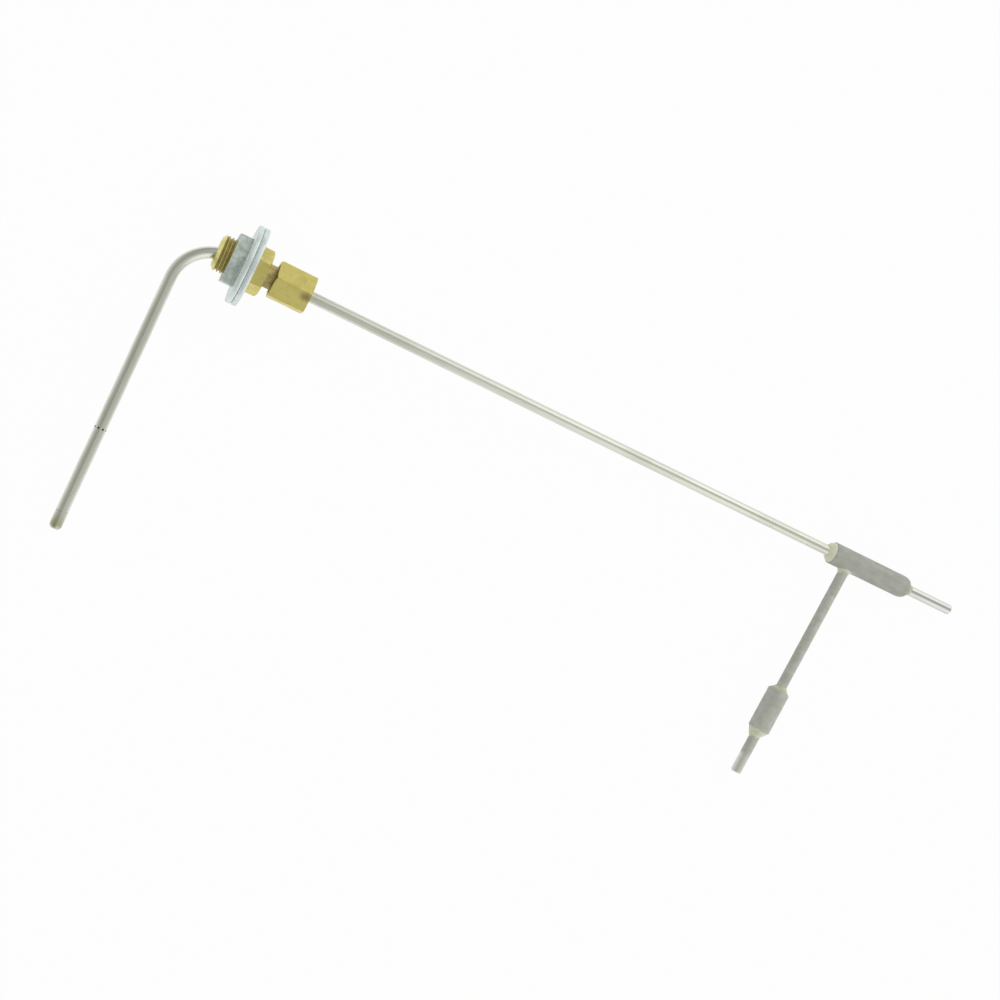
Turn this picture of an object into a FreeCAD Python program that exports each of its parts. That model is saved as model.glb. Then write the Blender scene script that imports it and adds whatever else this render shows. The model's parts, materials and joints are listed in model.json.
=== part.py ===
import FreeCAD
import Part
import math
import os

# A small pitot-static tube with its mounting gland, in millimetres.
#
# The stem runs along +X from the nose end to the tee, the nose and the static branch point along -Y,
# and +Z is up when the tube lies down. The origin is on the stem's axis, in the plane where the two
# gland washers meet, which is where a duct wall is clamped.

# ---------------------------------------------------------------- driving dimensions
# Tubing
TUBE_OD = 3.0              # 3 mm tube: nose, stem, branch and both ports
TUBE_WALL = 0.40
CORE_OD = 1.5              # the tube that carries total pressure inside the outer one
CORE_WALL = 0.25
PORT_WALL = 0.70           # the two port tubes are thicker, for a hose to be pushed on
PORT_STEP = 0.18           # their brazed ends are turned down by this much of radius
PORT_ROUND = 0.55          # rounding of their open ends

# Nose and bend
NOSE_LENGTH = 78.65        # tip to the stem's axis
BEND_RADIUS = 10.9         # of the centreline
TIP_LENGTH = 4.5           # the separate end piece, rounded nose included
TIP_RISE = 1.2             # how far the rounding runs back along the nose
TIP_HOLE = 1.00            # total pressure opening
TIP_SPIGOT = 3.0           # the part of the end piece that is inside the tube
NOSE_BRAZE = 0.35          # width of the ring between the end piece and the tube
STATIC_SETBACK = 26.8      # tip to the ring of static holes
STATIC_HOLES = 8
STATIC_HOLE = 0.55
STATIC_PHASE = -19.3       # angle of one static hole from straight up, in degrees

# Gland
WASHER_OD = 21.0
WASHER_T = 1.5
WASHER_CLEARANCE = 0.12    # radial, on the threaded barrel
WASHER_ROUND = 0.45        # rounding of the rims
BARREL_OD = 9.6            # 1/8 inch straight pipe thread, 28 to the inch, drawn at its crests
BARREL_LENGTH = 9.8        # from the hexagon's face to the open end
BARREL_LEAD = 0.85         # length of the cone at the open end
BARREL_LEAD_DROP = 1.1     # and the radius that it takes off
NOSE_TO_MOUTH = 7.4        # from the nose's axis to the barrel's open end
MOUTH_CLEARANCE = 0.15     # around the bend where it enters the barrel
LOCK_NUT_AF = 12.7         # across flats, 1/2 inch
LOCK_NUT_T = 3.3
LOCK_NUT_TURN = 33.5       # angle of a corner from +Y towards +Z, in degrees
HEX_AF = 10.8
HEX_T = 3.4
HEX_TURN = 11.3
NECK_OD = 6.2
NECK_LENGTH = 2.3
THREAD_OD = 7.94           # 5/16 inch thread inside the compression nut
THREAD_LENGTH = 5.2
NUT_AF = 9.4
NUT_LENGTH = 9.75
NUT_TURN = 29.8
HEX_CHAMFER = 30.0         # slope of the corner chamfers, in degrees
CORNERS_OFF = 0.85         # how much of the way from corner to flat the chamfers take off
NUT_END_CORNERS_OFF = 0.4  # the same at the compression nut's free end
LOCK_CORNERS_OFF = 0.25    # and on the lock nut
GUIDE_CLEARANCE = 0.06     # radial, the tube in the gland's long bores
FERRULE_CLEARANCE = 0.03   # radial, the tube in the ferrule
FERRULE_SEAT = 0.05        # between the ferrule and the parts that squeeze it
FERRULE_OD = 5.0
FERRULE_FRONT = 3.0        # the long taper towards the connector
FERRULE_BAND = 1.4         # the full width band behind it
FERRULE_REAR = 0.6         # the short taper towards the nut's shoulder
FERRULE_LIP = 0.35         # wall at the thin ends

# Tee
STEM_LENGTH = 197.55       # from the nose's axis to the tee sleeve's near face
TEE_OD = 6.45
TEE_LENGTH = 27.2
TEE_SOCKET = 3.4           # how far the stem goes into the sleeve
TEE_CHAMBER = 6.4          # length of the static chamber behind it
TEE_CHAMBER_OD = 4.6
TEE_DOME = 2.5             # how far the sleeve's far end is rounded back
TEE_CHAMFER = 0.2          # at its near face
BRANCH_SETBACK = 6.44      # from the tee sleeve's near face to the branch's axis
BRANCH_LEAN = 5.7          # the branch leans towards the nose, in degrees from square
TOTAL_PORT = 16.2          # past the tee sleeve

# Static branch, measured along it from the stem's axis
SLEEVE_OD = 6.35           # 1/4 inch
SLEEVE_START = 42.35
SLEEVE_LENGTH = 12.75
SLEEVE_INNER_CHAMFER = 0.5
SLEEVE_OUTER_CHAMFER = 0.28
SLEEVE_SOCKET = 5.5        # how far each tube goes into the sleeve
STATIC_PORT = 13.7        # past the sleeve

# Silver braze fillets: length along the tube, then height at the thick end
STEM_BRAZE = (1.7, 1.50)
TOTAL_BRAZE = (1.2, 0.40)
BRANCH_BRAZE = (1.1, 0.75)
INNER_BRAZE = (1.2, 1.12)
OUTER_BRAZE = (2.3, 1.38)
HOLLOW = (0.38, 0.42)      # where a hollow fillet's middle lies, as parts of its length and height
CONE = (0.50, 0.54)        # the same for one that is nearly straight
FULL = (0.60, 0.68)        # and for one that stands proud
FILLET_EDGE = 0.04         # radial height of every fillet's thin edge

# ---------------------------------------------------------------- derived
TUBE_R = TUBE_OD / 2
TUBE_IR = TUBE_R - TUBE_WALL
CORE_R = CORE_OD / 2
CORE_IR = CORE_R - CORE_WALL
PORT_IR = TUBE_R - PORT_WALL
SPIGOT_R = TUBE_R - PORT_STEP
TEE_R = TEE_OD / 2
SLEEVE_R = SLEEVE_OD / 2

HEX_X = WASHER_T                          # the hexagon's face is on the outer washer
NECK_X = HEX_X + HEX_T
NUT_X = NECK_X + NECK_LENGTH
NUT_END = NUT_X + NUT_LENGTH
MOUTH_X = HEX_X - BARREL_LENGTH
NOSE_X = MOUTH_X - NOSE_TO_MOUTH
BEND_END = NOSE_X + BEND_RADIUS
TEE_X = NOSE_X + STEM_LENGTH
TEE_END = TEE_X + TEE_LENGTH
BRANCH_X = TEE_X + BRANCH_SETBACK
SOCKET_END = TEE_X + TEE_SOCKET
CHAMBER_END = SOCKET_END + TEE_CHAMBER
TOTAL_END = TEE_END + TOTAL_PORT
SLEEVE_END = SLEEVE_START + SLEEVE_LENGTH
STATIC_END = SLEEVE_END + STATIC_PORT
GUIDE_R = TUBE_R + GUIDE_CLEARANCE
FERRULE_R = FERRULE_OD / 2
ENVELOPE_MARGIN = 0.2      # how far a hexagon's turning outline stays outside its corners

ORIGIN = FreeCAD.Vector(0, 0, 0)
ALONG_STEM = FreeCAD.Vector(1, 0, 0)
ALONG_NOSE = FreeCAD.Vector(0, -1, 0)
LEAN = math.radians(BRANCH_LEAN)
ALONG_BRANCH = FreeCAD.Vector(-math.sin(LEAN), -math.cos(LEAN), 0)
NOSE_FOOT = FreeCAD.Vector(NOSE_X, 0, 0)
BRANCH_FOOT = FreeCAD.Vector(BRANCH_X, 0, 0)


# ---------------------------------------------------------------- shape helpers
def turned(profile, foot=ORIGIN, along=ALONG_STEM):
    """A solid of revolution from a closed loop of corners, each (distance along the axis, radius).

    A corner may carry a third item, the middle point of an arc that leads to it.
    """
    def point(pair):
        return FreeCAD.Vector(pair[0], pair[1], 0)

    edges = []
    for k, corner in enumerate(profile):
        before = point(profile[k - 1])
        here = point(corner)
        if len(corner) == 3:
            edges.append(Part.Arc(before, point(corner[2]), here).toShape())
        else:
            edges.append(Part.makeLine(before, here))
    solid = Part.Face(Part.Wire(edges)).revolve(ORIGIN, ALONG_STEM, 360)
    solid.Placement = FreeCAD.Placement(foot, FreeCAD.Rotation(ALONG_STEM, along))
    return solid


def crown(start, radius, reach, drop):
    """The middle of an arc that leaves a cylinder smoothly and loses drop of radius over reach."""
    arc_radius = (reach ** 2 + drop ** 2) / (2 * drop)
    half = math.asin(reach / arc_radius) / 2
    return (start + arc_radius * math.sin(half), radius - arc_radius * (1 - math.cos(half)))


def rod(radius, start, end, foot=ORIGIN, along=ALONG_STEM):
    """A plain cylinder from one distance to another along an axis."""
    return Part.makeCylinder(radius, end - start, foot + along * start, along)


def pipe(outer, inner, start, end, foot=ORIGIN, along=ALONG_STEM):
    """A straight tube."""
    return rod(outer, start, end, foot, along).cut(rod(inner, start, end, foot, along))


def bent_rod(radius, tip, end):
    """A rod that follows the nose, the bend and the stem, from a nose distance to a stem position."""
    nose = rod(radius, BEND_RADIUS, tip, NOSE_FOOT, ALONG_NOSE)
    stem = rod(radius, BEND_END, end)
    ring = Part.Wire(Part.makeCircle(radius, FreeCAD.Vector(BEND_END, 0, 0), ALONG_STEM))
    centre = FreeCAD.Vector(BEND_END, -BEND_RADIUS, 0)
    bend = Part.Face(ring).revolve(centre, FreeCAD.Vector(0, 0, 1), 90)
    return nose.fuse(bend).fuse(stem).removeSplitter()


def hexagon(across_flats, start, length, turn, chamfers):
    """A hexagonal prism along the stem; chamfers says how much of its corners each end loses, 0 to 1."""
    flat = across_flats / 2
    corner = flat / math.cos(math.pi / 6)
    angles = [math.radians(turn + 60 * k) for k in range(6)]
    loop = [FreeCAD.Vector(start, corner * math.cos(a), corner * math.sin(a)) for a in angles]
    prism = Part.Face(Part.makePolygon(loop + [loop[0]])).extrude(FreeCAD.Vector(length, 0, 0))
    clear = corner + ENVELOPE_MARGIN
    outline = [(start, 0)]
    for share, face, inwards in ((chamfers[0], start, 1), (chamfers[1], start + length, -1)):
        end_r = corner - share * (corner - flat)
        lead = (clear - end_r) * math.tan(math.radians(HEX_CHAMFER))
        ends = [(face, end_r), (face + inwards * lead, clear)] if share else [(face, clear)]
        outline += ends if inwards == 1 else ends[::-1]
    envelope = turned(outline + [(start + length, 0)])
    return prism.common(envelope)


def rounded(shape, radius, edge_radius):
    """Rounds every circular edge of one radius."""
    circles = [e for e in shape.Edges if hasattr(e.Curve, "Radius")]
    edges = [e for e in circles if abs(e.Curve.Radius - edge_radius) < 1e-6]
    return shape.makeFillet(radius, edges)


def fillet_ring(size, face, side, inner, foot=ORIGIN, along=ALONG_STEM, middle=HOLLOW):
    """A braze fillet around a tube: thick against a face, thin away from it, on the side +1 or -1."""
    length, height = size
    reach = side * length
    via = (face + middle[0] * reach, TUBE_R + middle[1] * height)
    return turned([
        (face, inner),
        (face, TUBE_R + height),
        (face + reach, TUBE_R + FILLET_EDGE, via),
        (face + reach, inner),
    ], foot, along)


# ---------------------------------------------------------------- probe
def stem_tube():
    """The outer tube: nose, bend and stem in one length, with the ring of static holes."""
    tip = NOSE_LENGTH - TIP_LENGTH - NOSE_BRAZE
    tube = bent_rod(TUBE_R, tip, SOCKET_END).cut(bent_rod(TUBE_IR, tip, SOCKET_END))
    ring = NOSE_LENGTH - STATIC_SETBACK
    for k in range(STATIC_HOLES):
        angle = math.radians(STATIC_PHASE + 360.0 * k / STATIC_HOLES)
        out = FreeCAD.Vector(math.sin(angle), 0, math.cos(angle))
        centre = NOSE_FOOT + ALONG_NOSE * ring
        start = (CORE_R + TUBE_IR) / 2
        tube = tube.cut(Part.makeCylinder(STATIC_HOLE / 2, TUBE_R, centre + out * start, out))
    return tube


def total_tube():
    """The thin tube inside, from the nose's end piece to the total port."""
    tip = NOSE_LENGTH - TIP_RISE
    end = CHAMBER_END + TUBE_OD
    return bent_rod(CORE_R, tip, end).cut(bent_rod(CORE_IR, tip, end))


def nose_tip():
    """The rounded end piece: it closes the outer tube and holds the thin one."""
    base = NOSE_LENGTH - TIP_LENGTH
    rise = NOSE_LENGTH - TIP_RISE
    hole = TIP_HOLE / 2
    return turned([
        (rise, TUBE_R),
        (NOSE_LENGTH, hole, crown(rise, TUBE_R, TIP_RISE, TUBE_R - hole)),
        (rise, hole),
        (rise, CORE_R),
        (base - TIP_SPIGOT, CORE_R),
        (base - TIP_SPIGOT, TUBE_IR),
        (base, TUBE_IR),
        (base, TUBE_R),
    ], NOSE_FOOT, ALONG_NOSE)


def nose_braze():
    """The ring of braze between the end piece and the tube."""
    base = NOSE_LENGTH - TIP_LENGTH
    return pipe(TUBE_R, TUBE_IR, base - NOSE_BRAZE, base, NOSE_FOOT, ALONG_NOSE)


def tee_sleeve():
    """The tee's body: a socket for the stem, the static chamber, and a long bore for the total port."""
    dome = TEE_X + TEE_LENGTH - TEE_DOME
    end_r = TUBE_R + TOTAL_BRAZE[1]
    drop = TEE_R - end_r
    body = turned([
        (TEE_X, 0),
        (TEE_X, TEE_R - TEE_CHAMFER),
        (TEE_X + TEE_CHAMFER, TEE_R),
        (dome, TEE_R),
        (TEE_END, end_r, crown(dome, TEE_R, TEE_DOME, drop)),
        (TEE_END, 0),
    ])
    bore = turned([
        (TEE_X - 1, 0),
        (TEE_X - 1, TUBE_R),
        (SOCKET_END, TUBE_R),
        (SOCKET_END, TEE_CHAMBER_OD / 2),
        (CHAMBER_END, TEE_CHAMBER_OD / 2),
        (CHAMBER_END, SPIGOT_R),
        (TEE_END + 1, SPIGOT_R),
        (TEE_END + 1, 0),
    ])
    side = rod(TUBE_R, 0, 2 * TEE_R, BRANCH_FOOT, ALONG_BRANCH)
    return body.cut(bore).cut(side)


def total_port_tube():
    """The nipple in line with the stem; the thin tube ends inside it."""
    seat = CHAMBER_END + TUBE_OD
    shoulder = TEE_END + TOTAL_BRAZE[0]
    tube = turned([
        (CHAMBER_END, CORE_R),
        (CHAMBER_END, SPIGOT_R),
        (shoulder, SPIGOT_R),
        (shoulder, TUBE_R),
        (TOTAL_END, TUBE_R),
        (TOTAL_END, PORT_IR),
        (seat, PORT_IR),
        (seat, CORE_R),
    ])
    return port_end(tube, TOTAL_END, ORIGIN, ALONG_STEM)


def port_end(tube, end, foot, along):
    """Rounds the outer edge of a nipple's open end."""
    centre = foot + along * end
    edges = [
        e for e in tube.Edges
        if hasattr(e.Curve, "Radius")
        and abs(e.Curve.Radius - TUBE_R) < 1e-6
        and e.Curve.Center.distanceToPoint(centre) < 1e-6
    ]
    return tube.makeFillet(PORT_ROUND, edges)


def branch_tube():
    """The tube that leads static pressure from the tee's chamber to the static sleeve."""
    tube = pipe(TUBE_R, TUBE_IR, 0, SLEEVE_START + SLEEVE_SOCKET, BRANCH_FOOT, ALONG_BRANCH)
    return tube.cut(rod(TEE_CHAMBER_OD / 2, TEE_X, TEE_END))


def static_sleeve():
    """The coupling between the branch tube and the static port, with a shoulder for each inside."""
    return turned([
        (SLEEVE_START, TUBE_R),
        (SLEEVE_START, SLEEVE_R - SLEEVE_INNER_CHAMFER),
        (SLEEVE_START + SLEEVE_INNER_CHAMFER, SLEEVE_R),
        (SLEEVE_END - SLEEVE_OUTER_CHAMFER, SLEEVE_R),
        (SLEEVE_END, SLEEVE_R - SLEEVE_OUTER_CHAMFER),
        (SLEEVE_END, SPIGOT_R),
        (SLEEVE_END - SLEEVE_SOCKET, SPIGOT_R),
        (SLEEVE_END - SLEEVE_SOCKET, TUBE_IR),
        (SLEEVE_START + SLEEVE_SOCKET, TUBE_IR),
        (SLEEVE_START + SLEEVE_SOCKET, TUBE_R),
    ], BRANCH_FOOT, ALONG_BRANCH)


def static_port_tube():
    """The nipple at the end of the branch."""
    start = SLEEVE_END - SLEEVE_SOCKET
    shoulder = SLEEVE_END + OUTER_BRAZE[0]
    tube = turned([
        (start, PORT_IR),
        (start, SPIGOT_R),
        (shoulder, SPIGOT_R),
        (shoulder, TUBE_R),
        (STATIC_END, TUBE_R),
        (STATIC_END, PORT_IR),
    ], BRANCH_FOOT, ALONG_BRANCH)
    return port_end(tube, STATIC_END, BRANCH_FOOT, ALONG_BRANCH)


def stem_braze():
    """The braze on the tee sleeve's near face, around the stem."""
    return fillet_ring(STEM_BRAZE, TEE_X, -1, TUBE_R, middle=FULL)


def total_port_braze():
    """The braze at the tee sleeve's rounded end, around the total port."""
    return fillet_ring(TOTAL_BRAZE, TEE_END, +1, SPIGOT_R)


def branch_braze():
    """The saddle of braze where the branch leaves the tee sleeve."""
    length, height = BRANCH_BRAZE
    foot_r = TUBE_R + height
    low = math.sqrt(TEE_R ** 2 - foot_r ** 2) * 0.9
    bead = turned([
        (low, TUBE_R),
        (low, foot_r),
        (TEE_R, foot_r),
        (TEE_R + length, TUBE_R + FILLET_EDGE, (TEE_R + HOLLOW[0] * length, TUBE_R + HOLLOW[1] * height)),
        (TEE_R + length, TUBE_R),
    ], BRANCH_FOOT, ALONG_BRANCH)
    return bead.cut(rod(TEE_R, TEE_X, TEE_END - TEE_DOME))


def static_inner_braze():
    """The braze where the branch tube enters the static sleeve."""
    return fillet_ring(INNER_BRAZE, SLEEVE_START, -1, TUBE_R, BRANCH_FOOT, ALONG_BRANCH)


def static_outer_braze():
    """The wide cone of braze where the static port leaves its sleeve."""
    return fillet_ring(OUTER_BRAZE, SLEEVE_END, +1, SPIGOT_R, BRANCH_FOOT, ALONG_BRANCH, CONE)


# ---------------------------------------------------------------- gland
def mouth_radius():
    """The barrel's wide bore, set by how far the bend has swung off the axis at the open end."""
    run = max(BEND_RADIUS - NOSE_TO_MOUTH, 0.0)
    offset = BEND_RADIUS - math.sqrt(BEND_RADIUS ** 2 - run ** 2)
    slant = math.cos(math.asin(run / BEND_RADIUS))
    return max(offset + TUBE_R / slant, GUIDE_R) + MOUTH_CLEARANCE


def male_connector():
    """The gland's body: threaded barrel, hexagon, neck and the seat for the ferrule."""
    barrel_r = BARREL_OD / 2
    thread_r = THREAD_OD / 2
    thread_end = NUT_X + THREAD_LENGTH
    barrel = turned([
        (MOUTH_X, 0),
        (MOUTH_X, barrel_r - BARREL_LEAD_DROP),
        (MOUTH_X + BARREL_LEAD, barrel_r),
        (HEX_X + 0.5, barrel_r),
        (HEX_X + 0.5, 0),
    ])
    hexagon_part = hexagon(HEX_AF, HEX_X, HEX_T, HEX_TURN, (0, CORNERS_OFF))
    neck = turned([
        (NECK_X - 0.5, 0),
        (NECK_X - 0.5, NECK_OD / 2),
        (NUT_X + 0.3, NECK_OD / 2),
        (NUT_X + 0.3 + thread_r - NECK_OD / 2, thread_r),
        (thread_end - 0.4, thread_r),
        (thread_end, thread_r - 0.4),
        (thread_end, 0),
    ])
    mouth_r = mouth_radius()
    mouth_end = BEND_END + 0.5
    seat_r = FERRULE_R + FERRULE_SEAT
    band_start = thread_end - 0.6 * FERRULE_BAND
    nose_r = TUBE_R + FERRULE_CLEARANCE + FERRULE_LIP
    seat_start = band_start - FERRULE_FRONT
    bore = turned([
        (MOUTH_X - 1, 0),
        (MOUTH_X - 1, mouth_r),
        (mouth_end, mouth_r),
        (mouth_end + 0.6 * (mouth_r - GUIDE_R), GUIDE_R),
        (seat_start - FERRULE_SEAT, GUIDE_R),
        (seat_start - FERRULE_SEAT, nose_r + FERRULE_SEAT),
        (band_start, seat_r),
        (thread_end + 1, seat_r),
        (thread_end + 1, 0),
    ])
    return barrel.fuse(hexagon_part).fuse(neck).removeSplitter().cut(bore)


def ferrule():
    """The brass sleeve that grips the tube when the nut is tightened."""
    thread_end = NUT_X + THREAD_LENGTH
    band_start = thread_end - 0.6 * FERRULE_BAND
    front = band_start - FERRULE_FRONT
    band_end = band_start + FERRULE_BAND
    bore = TUBE_R + FERRULE_CLEARANCE
    lip = bore + FERRULE_LIP
    return turned([
        (front, bore),
        (front, lip),
        (band_start, FERRULE_R),
        (band_end, FERRULE_R),
        (band_end + FERRULE_REAR, lip),
        (band_end + FERRULE_REAR, bore),
    ])


def compression_nut():
    """The long nut that presses the ferrule into its seat."""
    thread_r = THREAD_OD / 2
    thread_end = NUT_X + THREAD_LENGTH
    band_end = thread_end + 0.4 * FERRULE_BAND
    lip = TUBE_R + FERRULE_CLEARANCE + FERRULE_LIP
    seat_r = FERRULE_R + FERRULE_SEAT
    body = hexagon(NUT_AF, NUT_X, NUT_LENGTH, NUT_TURN, (CORNERS_OFF, NUT_END_CORNERS_OFF))
    bore = turned([
        (NUT_X - 1, 0),
        (NUT_X - 1, thread_r),
        (thread_end + 0.2, thread_r),
        (thread_end + 0.2, seat_r),
        (band_end + FERRULE_SEAT, seat_r),
        (band_end + FERRULE_REAR + FERRULE_SEAT, lip + FERRULE_SEAT),
        (band_end + FERRULE_REAR + FERRULE_SEAT, GUIDE_R),
        (NUT_END + 1, GUIDE_R),
        (NUT_END + 1, 0),
    ])
    return body.cut(bore)


def lock_nut():
    """The thin nut on the barrel that clamps the duct wall between the washers."""
    start = -WASHER_T - LOCK_NUT_T
    body = hexagon(LOCK_NUT_AF, start, LOCK_NUT_T, LOCK_NUT_TURN, (LOCK_CORNERS_OFF, 0))
    return body.cut(rod(BARREL_OD / 2, start - 1, 0))


def washer(start):
    """A plain washer with rounded rims."""
    ring = pipe(WASHER_OD / 2, BARREL_OD / 2 + WASHER_CLEARANCE, start, start + WASHER_T)
    return rounded(ring, WASHER_ROUND, WASHER_OD / 2)


def inner_washer():
    """The washer on the duct's inside."""
    return washer(-WASHER_T)


def outer_washer():
    """The washer on the duct's outside, against the hexagon."""
    return washer(0.0)


# ---------------------------------------------------------------- write the nodes
NODES = (
    stem_tube, total_tube, nose_tip, nose_braze,
    tee_sleeve, total_port_tube, branch_tube, static_sleeve, static_port_tube,
    stem_braze, total_port_braze, branch_braze, static_inner_braze, static_outer_braze,
    male_connector, ferrule, compression_nut, lock_nut, inner_washer, outer_washer,
)

os.makedirs("parts", exist_ok=True)
for make in NODES:
    shape = make()
    solids = shape.Solids
    box = shape.BoundBox
    print("%-20s %d solid, %8.2f mm3, %6.2f x %6.2f x %6.2f" % (
        make.__name__, len(solids), shape.Volume, box.XLength, box.YLength, box.ZLength))
    solids[0].exportStep(os.path.join("parts", make.__name__ + ".step"))
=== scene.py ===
# %% [markdown]
# # Dressing a pitot tube
#
# A pitot tube measures how fast air moves through a duct. Its nose faces the flow: the opening at the tip
# takes the total pressure, and a ring of small holes further back takes the static pressure. A thin tube
# inside the outer one keeps the two apart as far as the tee, where each gets a port for a hose. A brass
# gland with a ferrule holds the stem in the duct's wall and lets it slide and turn.
#
# The solids come from the CAD model. This lesson makes the surfaces that are seen, in metres, in the same
# frame: +X along the stem, the nose and the static branch along -Y, +Z up, and the origin where the two
# washers of the gland meet.

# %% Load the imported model
import json
import math

import bmesh
import bpy
from mathutils import Matrix, Vector, noise


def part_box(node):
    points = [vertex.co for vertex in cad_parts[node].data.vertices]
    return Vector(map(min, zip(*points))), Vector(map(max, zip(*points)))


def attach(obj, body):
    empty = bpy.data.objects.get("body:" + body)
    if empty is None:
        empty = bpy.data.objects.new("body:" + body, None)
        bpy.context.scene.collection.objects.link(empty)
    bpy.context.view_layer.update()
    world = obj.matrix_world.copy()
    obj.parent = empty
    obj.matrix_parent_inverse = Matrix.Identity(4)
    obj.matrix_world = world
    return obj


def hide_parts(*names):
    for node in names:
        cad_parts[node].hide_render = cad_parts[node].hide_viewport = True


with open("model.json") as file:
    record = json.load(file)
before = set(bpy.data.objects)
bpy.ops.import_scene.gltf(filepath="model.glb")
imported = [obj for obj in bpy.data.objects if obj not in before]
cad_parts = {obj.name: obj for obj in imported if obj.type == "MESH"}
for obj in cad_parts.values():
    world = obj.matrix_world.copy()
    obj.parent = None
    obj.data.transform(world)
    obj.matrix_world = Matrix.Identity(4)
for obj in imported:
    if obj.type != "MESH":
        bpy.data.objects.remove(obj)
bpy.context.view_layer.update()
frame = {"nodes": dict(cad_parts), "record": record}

# %% [markdown]
# ## Measuring the solids
#
# Every size that the solids hold is read from them, so that the looks follow the model if it changes. A
# turned part is described best by how far along its axis a point lies and how far from the axis it is, so
# one helper gives those two numbers for each point of a node.

# %% Axes and a measuring helper
MM = 0.001
TOUCHING = 0.01 * MM     # points closer than this along an axis are at the same place
ON_RADIUS = 0.005 * MM   # and closer than this to a radius, on it
ON_SKIN = 0.002 * MM     # and closer than this to the tube's surface, on that
UP = Vector((0, 0, 1))
STEM = Vector((1, 0, 0))
NOSE = Vector((0, -1, 0))
ORIGIN = Vector((0, 0, 0))


def stations(node, foot=ORIGIN, axis=STEM):
    """(distance along the axis, distance from it) for every point of a CAD node."""
    found = []
    for point in frame["nodes"][node].data.vertices:
        offset = point.co - foot
        along = offset.dot(axis)
        found.append((along, (offset - axis * along).length))
    return found


def reach(node, foot=ORIGIN, axis=STEM):
    """Where a CAD node starts and ends along an axis, and its largest radius."""
    found = stations(node, foot, axis)
    along = [a for a, r in found]
    return min(along), max(along), max(r for a, r in found)


def bore_at(node, end, foot=ORIGIN, axis=STEM):
    """The smallest radius at one end of a CAD node."""
    return min(r for a, r in stations(node, foot, axis) if abs(a - end) < TOUCHING)


def full_width(node, radius, foot=ORIGIN, axis=STEM):
    """Where a CAD node first and last has a radius."""
    along = [a for a, r in stations(node, foot, axis) if abs(r - radius) < ON_RADIUS]
    return min(along), max(along)


# %% Sizes of the tube
stem_low, stem_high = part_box("stem_tube")
tube_r = stem_high.z
nose_foot = Vector((stem_low.x + tube_r, 0, 0))
tube_bore = bore_at("stem_tube", stem_high.x)
tube_end = -stem_low.y
tube_points = [p.co for p in frame["nodes"]["stem_tube"].data.vertices]
bend_end = min(p.x for p in tube_points if p.y > tube_r - ON_SKIN)
bend_r = bend_end - nose_foot.x
print("tube radius %.3f mm, bore %.3f mm, bend radius %.2f mm" % (tube_r / MM, tube_bore / MM, bend_r / MM))

# %% Sizes of the ring of static holes
HOLES = 8
CLEAR_OF_ENDS = 5 * MM
rim = []
for point in tube_points:
    offset = point - nose_foot
    on_skin = abs(math.hypot(offset.x, offset.z) - tube_r) < ON_SKIN
    if on_skin and bend_r + CLEAR_OF_ENDS < -offset.y < tube_end - CLEAR_OF_ENDS:
        rim.append(offset)
ring_at = -sum(p.y for p in rim) / len(rim)
hole_r = (max(p.y for p in rim) - min(p.y for p in rim)) / 2
turns = [HOLES * math.atan2(p.x, p.z) for p in rim]
hole_phase = math.atan2(sum(map(math.sin, turns)), sum(map(math.cos, turns))) / HOLES
print("holes %.2f mm wide, %.2f mm from the stem" % (2 * hole_r / MM, ring_at / MM))

# %% Sizes of the tee and the branch
tee_start, tee_end, tee_r = reach("tee_sleeve")
ports = {m["name"]: m for m in frame["record"]["mounts"]}
BRANCH = Vector(ports["static_port"]["axis"]).normalized()
branch_point = Vector(ports["static_port"]["pos_m"])
branch_foot = branch_point - BRANCH * (branch_point.y / BRANCH.y)
sleeve_start, sleeve_end, sleeve_r = reach("static_sleeve", branch_foot, BRANCH)
print("tee %.1f mm long, branch sleeve %.1f mm long" % (
    (tee_end - tee_start) / MM, (sleeve_end - sleeve_start) / MM))

# %% [markdown]
# ## Two ways to shape a piece
#
# Nearly everything here was turned on a lathe, so nearly everything can be spun: draw half of the cut
# through the piece once, as a closed loop of corners, and sweep it around the axis. `spin` does that, and
# `use_merge` closes the seam. The corners of a lathe part are never knife sharp, so a small bevel follows.
#
# A hole or a hexagon that meets a cone is easier to carve than to draw, so the second helper is the
# Boolean modifier, applied at once.

# %% Turning
MERGED = 0.0005 * MM


def turned(corners, foot=ORIGIN, axis=STEM, steps=96):
    """A bmesh spun from a closed loop of (along, radius) corners."""
    bm = bmesh.new()
    verts = [bm.verts.new(foot + axis * a + UP * r) for a, r in corners]
    edges = [bm.edges.new(pair) for pair in zip(verts, verts[1:] + verts[:1])]
    bmesh.ops.spin(bm, geom=verts + edges, cent=foot, axis=axis, angle=2 * math.pi,
                   steps=steps, use_merge=True)
    bmesh.ops.remove_doubles(bm, verts=bm.verts, dist=MERGED)
    bmesh.ops.recalc_face_normals(bm, faces=bm.faces)
    return bm


def softened(bm, width, segments=3, angle=30, only=None):
    """Rounds every edge that turns by more than an angle, or only the edges that a test accepts."""
    edges = [e for e in bm.edges if e.is_manifold and e.calc_face_angle() > math.radians(angle)]
    if only:
        edges = [e for e in edges if only(e)]
    bmesh.ops.bevel(bm, geom=edges, offset=width, offset_type="OFFSET", segments=segments,
                    profile=0.5, affect="EDGES", clamp_overlap=True, material=-1)
    return bm


def arc(start, end, sag, count):
    """Points of an arc from one corner to another; sag pushes its middle out (+) or in (-)."""
    dx, dr = end[0] - start[0], end[1] - start[1]
    length = math.hypot(dx, dr)
    points = []
    for k in range(count + 1):
        t = k / count
        bulge = 4 * sag * t * (1 - t)
        along = start[0] + dx * t
        radius = start[1] + dr * t
        points.append((along - dr / length * bulge, radius + dx / length * bulge))
    return points


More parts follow.
